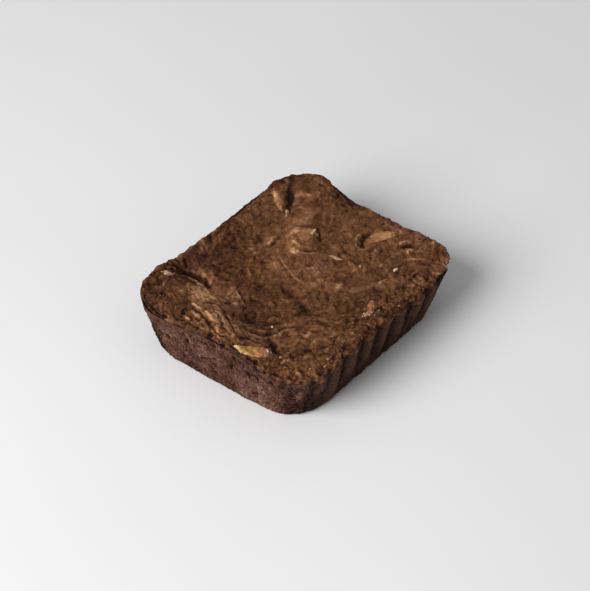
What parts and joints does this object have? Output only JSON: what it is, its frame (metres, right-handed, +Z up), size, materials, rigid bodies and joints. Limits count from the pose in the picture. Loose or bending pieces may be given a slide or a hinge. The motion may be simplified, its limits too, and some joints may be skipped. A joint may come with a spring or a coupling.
{
  "type": "chocolate brownie",
  "caption": "Rectangular chocolate brownie baked in a fluted tin, with a flat base, leaning fluted walls, a sunken wrinkled top and nut pieces in the crust.",
  "frame": {"origin": "centre of the bounding box at the underside, on the flat base", "axes": "+X along the long side, +Y across it, +Z up from the base to the crust"},
  "size_m": [0.0966, 0.0834, 0.0243],
  "materials": {
    "cake": "baked chocolate crust, matt and wrinkled, over a rough porous dark crumb",
    "nut": "toasted nut, smooth with a slight waxy shine"
  },
  "bodies": {
    "root": {"brownie": "cake", "nut_left_end": "nut", "nut_near_side": "nut", "nut_right_end": "nut", "nut_far_corner": "nut", "nut_middle": "nut", "nut_left_corner": "nut"}
  },
  "joints": []
}
